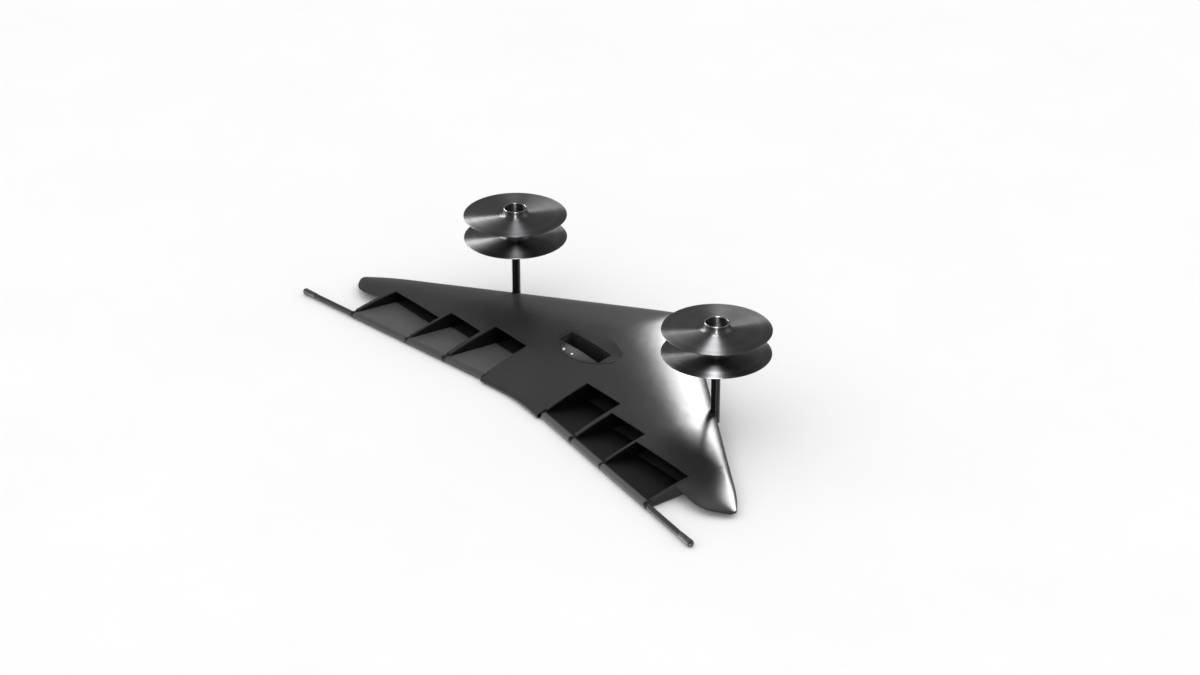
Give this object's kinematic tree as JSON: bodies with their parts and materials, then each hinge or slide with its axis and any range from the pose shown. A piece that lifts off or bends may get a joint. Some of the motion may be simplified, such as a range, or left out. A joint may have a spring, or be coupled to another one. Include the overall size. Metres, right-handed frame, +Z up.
{
  "type": "rc flying wing",
  "caption": "Dark flying wing with stepped trailing-edge vents whose flaps swing on a rod, a dorsal intake slot and stacked contra-rotating disc rotors on leading-edge masts.",
  "frame": {"origin": "on the ground, at the middle of the overall box", "axes": "+X to the nose, +Y to the left wing tip, +Z up"},
  "size_m": [0.4858, 1.209, 0.2125],
  "materials": {
    "wing_gloss": "polished, dark grey",
    "vent_plastic": "satin black",
    "spar_composite": "plain composite",
    "mast_black": "satin black",
    "rod_black": "polished",
    "cap_metal": "turned",
    "disc_metal": "spun, circular grain",
    "motor_black": "satin black",
    "magnet_plating": "plated",
    "stator_iron": "lacquered laminations",
    "bright_steel": "ground",
    "gear_brass": "machined",
    "case_plastic": "moulded",
    "tray_board": "plain",
    "battery_wrap": "shrink wrap",
    "skid_rubber": "matte",
    "lamp_lens": "frosted lens",
    "duct_black": "matte black"
  },
  "bodies": {
    "airframe": {"battery_hatch": "wing_gloss", "battery_pack": "battery_wrap", "belly_skids": "skid_rubber", "electronics_tray": "tray_board", "flap_servos": "case_plastic", "flight_controller": "case_plastic", "hatch_frame": "spar_composite", "hatch_screws": "bright_steel", "hub_spacers": "bright_steel", "intake_bezel": "wing_gloss", "intake_duct": "duct_black", "lower_skin": "wing_gloss", "main_spar": "spar_composite", "mast_sockets": "wing_gloss", "motor_bases": "motor_black", "motor_stators": "stator_iron", "nose_ribs": "spar_composite", "payload_plate": "spar_composite", "radio_receiver": "case_plastic", "rotor_mast_left": "mast_black", "rotor_mast_right": "mast_black", "rotor_spindle_left": "bright_steel", "rotor_spindle_right": "bright_steel", "speed_controllers": "case_plastic", "spindle_nuts": "bright_steel", "status_lamps": "lamp_lens", "upper_skin": "wing_gloss", "vent_fences": "vent_plastic", "wing_tip_left": "wing_gloss", "wing_tip_right": "wing_gloss"},
    "flap_bank_left": {"flap_rod_left": "rod_black", "rod_end_cap_left": "cap_metal", "rod_gear_left": "gear_brass", "vent_flap_left_inner": "vent_plastic", "vent_flap_left_middle": "vent_plastic", "vent_flap_left_outer": "vent_plastic"},
    "servo_output_left": {"servo_gear_left": "gear_brass"},
    "rotor_left_upper": {"rotor_disc_left_upper": "disc_metal", "motor_can_left_upper": "motor_black", "motor_magnets_left_upper": "magnet_plating", "rotor_bearings_left_upper": "bright_steel"},
    "rotor_left_lower": {"rotor_disc_left_lower": "disc_metal", "motor_can_left_lower": "motor_black", "motor_magnets_left_lower": "magnet_plating", "rotor_bearings_left_lower": "bright_steel"},
    "flap_bank_right": {"flap_rod_right": "rod_black", "rod_end_cap_right": "cap_metal", "rod_gear_right": "gear_brass", "vent_flap_right_inner": "vent_plastic", "vent_flap_right_middle": "vent_plastic", "vent_flap_right_outer": "vent_plastic"},
    "servo_output_right": {"servo_gear_right": "gear_brass"},
    "rotor_right_upper": {"rotor_disc_right_upper": "disc_metal", "motor_can_right_upper": "motor_black", "motor_magnets_right_upper": "magnet_plating", "rotor_bearings_right_upper": "bright_steel"},
    "rotor_right_lower": {"rotor_disc_right_lower": "disc_metal", "motor_can_right_lower": "motor_black", "motor_magnets_right_lower": "magnet_plating", "rotor_bearings_right_lower": "bright_steel"}
  },
  "joints": [
    {"name": "flap_bank_left_turn", "type": "hinge", "parent": "airframe", "child": "flap_bank_left", "pos_m": [-0.1958, 0.3, 0.0066], "axis": [0.1348, -0.9909, 0], "range_deg": [0, 12]},
    {"name": "servo_output_left_turn", "type": "hinge", "parent": "airframe", "child": "servo_output_left", "pos_m": [-0.15693, 0.06836, 0.0066], "axis": [0.1348, -0.9909, 0], "range_deg": [-12, 0]},
    {"name": "rotor_left_upper_spin", "type": "hinge", "parent": "airframe", "child": "rotor_left_upper", "pos_m": [0.063, 0.3038, 0.1974], "axis": [0, 0, 1], "continuous": true},
    {"name": "rotor_left_lower_spin", "type": "hinge", "parent": "airframe", "child": "rotor_left_lower", "pos_m": [0.063, 0.3038, 0.1508], "axis": [0, 0, -1], "continuous": true},
    {"name": "flap_bank_right_turn", "type": "hinge", "parent": "airframe", "child": "flap_bank_right", "pos_m": [-0.1958, -0.3, 0.0066], "axis": [-0.1348, -0.9909, 0], "range_deg": [0, 12]},
    {"name": "servo_output_right_turn", "type": "hinge", "parent": "airframe", "child": "servo_output_right", "pos_m": [-0.15693, -0.06836, 0.0066], "axis": [-0.1348, -0.9909, 0], "range_deg": [-12, 0]},
    {"name": "rotor_right_upper_spin", "type": "hinge", "parent": "airframe", "child": "rotor_right_upper", "pos_m": [0.063, -0.3038, 0.1974], "axis": [0, 0, 1], "continuous": true},
    {"name": "rotor_right_lower_spin", "type": "hinge", "parent": "airframe", "child": "rotor_right_lower", "pos_m": [0.063, -0.3038, 0.1508], "axis": [0, 0, -1], "continuous": true}
  ],
  "couplings": [
    {"joint": "servo_output_left_turn", "follows": "flap_bank_left_turn", "ratio": -1},
    {"joint": "servo_output_right_turn", "follows": "flap_bank_right_turn", "ratio": -1}
  ]
}
